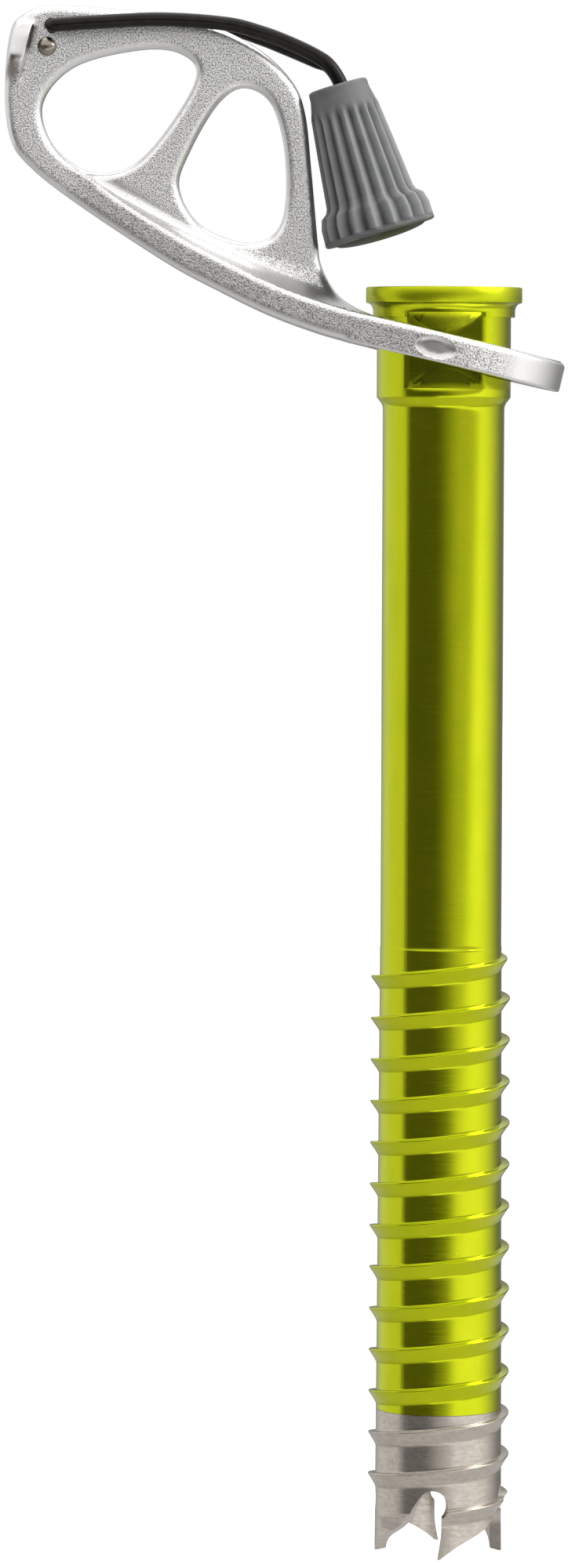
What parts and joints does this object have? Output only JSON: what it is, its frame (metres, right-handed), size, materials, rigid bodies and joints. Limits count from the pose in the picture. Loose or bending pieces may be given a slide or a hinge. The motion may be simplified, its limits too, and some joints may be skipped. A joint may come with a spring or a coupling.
{
  "type": "ice climbing screw",
  "caption": "Tubular ice screw: threaded green tube with a toothed steel tip, forged hanger with carabiner eyes that rocks on the head, and a folding wire crank with a knob.",
  "frame": {"origin": "on the tube's axis, level with the lower shoulder of the head, where the plain shaft begins", "axes": "+Z along the tube, out of the ice; -X towards the hanger's eyes; +Y across the hanger's flat web"},
  "size_m": [0.0833, 0.032, 0.2304],
  "materials": {
    "anodised_tube": "gloss lime-green anodising over fine turning marks",
    "machined_tip": "machined, warm grey, fine circular marks",
    "forging": "shot-blasted faces with brighter rubbed edges",
    "bright_steel": "bright, lightly polished",
    "coated_wire": "gloss black coating over spring steel",
    "grip": "matte moulded mid grey"
  },
  "bodies": {
    "screw": {"tube": "anodised_tube", "cutter_tip": "machined_tip"},
    "hanger": {"hanger": "forging", "stop_rivet": "bright_steel"},
    "handle": {"wire_handle": "coated_wire", "swivel_core": "bright_steel", "retaining_clip": "bright_steel"},
    "knob": {"knob_grip": "grip", "knob_end_cap": "grip"}
  },
  "joints": [
    {"name": "hanger_rock", "type": "hinge", "parent": "screw", "child": "hanger", "pos_m": [0, 0, 0.007], "axis": [0, 1, 0], "range_deg": [-26.6, 0]},
    {"name": "handle_swing", "type": "hinge", "parent": "hanger", "child": "handle", "pos_m": [-0.05824, 0, 0.05481], "axis": [0, -1, 0], "range_deg": [0, 153]},
    {"name": "knob_spin", "type": "hinge", "parent": "handle", "child": "knob", "pos_m": [-0.01603, 0, 0.04627], "axis": [0.2857, 0, -0.9583], "continuous": true}
  ]
}
